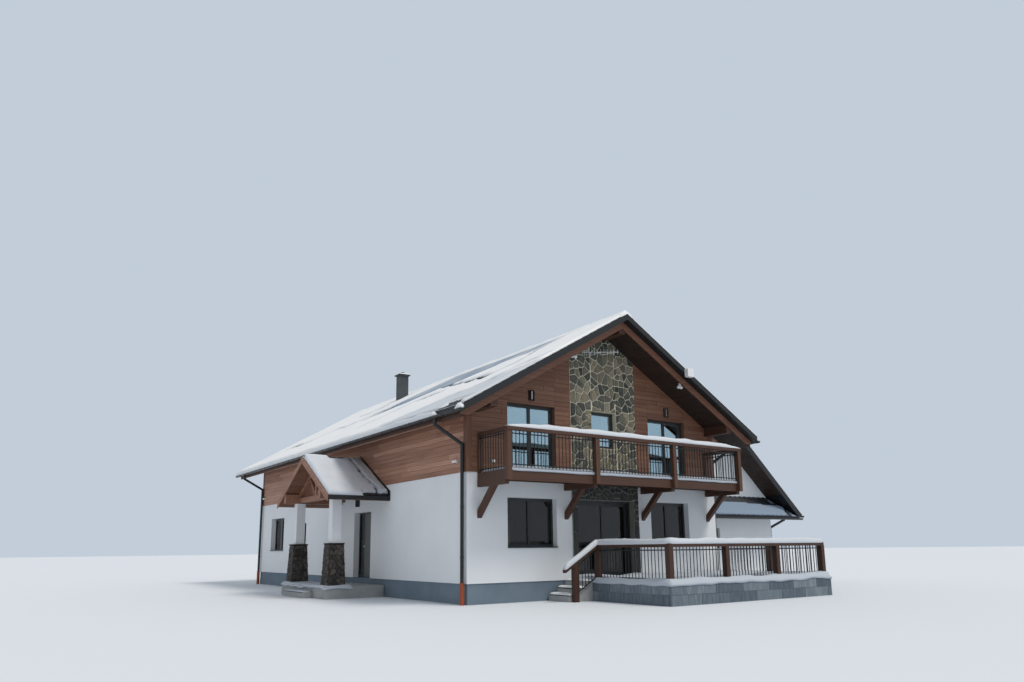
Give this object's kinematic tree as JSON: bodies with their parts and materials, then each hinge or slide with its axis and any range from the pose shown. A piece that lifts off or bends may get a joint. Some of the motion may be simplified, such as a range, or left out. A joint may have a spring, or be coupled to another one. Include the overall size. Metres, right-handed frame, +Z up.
{
  "type": "alpine chalet",
  "caption": "Two-storey alpine house: plastered ground storey, timber upper storey, pitched roof, balcony, raised terrace, side porch and lower wing.",
  "frame": {"origin": "middle of the main block's footprint, on the ground, under the ground floor slab", "axes": "+X to the right of the front gable, +Y towards the back gable, +Z up"},
  "size_m": [19.8903, 23.55, 9.2898],
  "materials": {
    "plaster": "fine white render",
    "render_grey": "grey plinth render",
    "concrete": "cast concrete",
    "block_concrete": "concrete blocks",
    "fieldstone": "irregular stone with pale joints",
    "base_stone": "dark stone",
    "cladding": "red-brown stained boards",
    "dark_timber": "dark brown stain",
    "post_timber": "red-brown stain",
    "floor_timber": "plain boards",
    "roof_metal": "matt anthracite",
    "gutter_metal": "satin black",
    "black_steel": "satin black",
    "window_frame": "matt anthracite",
    "window_glass": "clear, slightly reflective",
    "door_panel": "grey-green satin",
    "opal_glass": "opal white",
    "drain_pvc": "orange-brown PVC",
    "aluminium": "bare, matt",
    "white_plastic": "matt white"
  },
  "bodies": {
    "house": {"plinth": "render_grey", "ground_slab": "concrete", "front_walls": "plaster", "stone_wall_lower": "fieldstone", "left_wall_front": "plaster", "left_wall_back": "plaster", "left_wall_lintel": "plaster", "right_wall": "plaster", "back_wall": "plaster", "upper_floor": "floor_timber", "upper_front_walls": "cladding", "stone_wall_upper": "fieldstone", "upper_left_wall": "cladding", "upper_right_wall": "cladding", "upper_back_wall": "cladding", "roof_deck": "dark_timber", "roof_cover": "roof_metal", "barge_boards": "cladding", "purlins": "cladding", "gutters": "gutter_metal", "downpipes": "gutter_metal", "chimney": "roof_metal", "balcony_frame": "dark_timber", "balcony_deck": "dark_timber", "balcony_posts": "post_timber", "balcony_rail": "dark_timber", "balcony_balusters": "black_steel", "window_frames": "window_frame", "window_glass": "window_glass", "window_sills": "window_frame", "terrace_door_frame": "window_frame", "entrance_frame": "window_frame", "terrace_walls": "block_concrete", "terrace_floor": "concrete", "terrace_steps": "concrete", "terrace_posts": "post_timber", "terrace_rail": "post_timber", "terrace_balusters": "black_steel", "porch_floor": "concrete", "column_bases": "base_stone", "columns": "plaster", "porch_frame": "cladding", "porch_roof": "roof_metal", "wing_floor": "concrete", "wing_walls": "plaster", "wing_roof": "roof_metal", "wing_pent_roof": "roof_metal", "wall_lamps": "black_steel", "lamp_glasses": "opal_glass", "corner_boards": "cladding", "drain_pipes": "drain_pvc", "antenna": "aluminium", "cameras": "white_plastic"},
    "entrance_leaf": {"entrance_door": "door_panel"},
    "terrace_leaf": {"terrace_door_leaf": "window_frame", "terrace_leaf_glass": "window_glass"}
  },
  "joints": [
    {"name": "entrance_hinge", "type": "hinge", "parent": "house", "child": "entrance_leaf", "pos_m": [-4.71, -2.9375, 0.575], "axis": [0, 0, -1], "range_deg": [0, 90]},
    {"name": "terrace_slide", "type": "slide", "parent": "house", "child": "terrace_leaf", "axis": [-1, 0, 0], "range_m": [0, 1]}
  ]
}
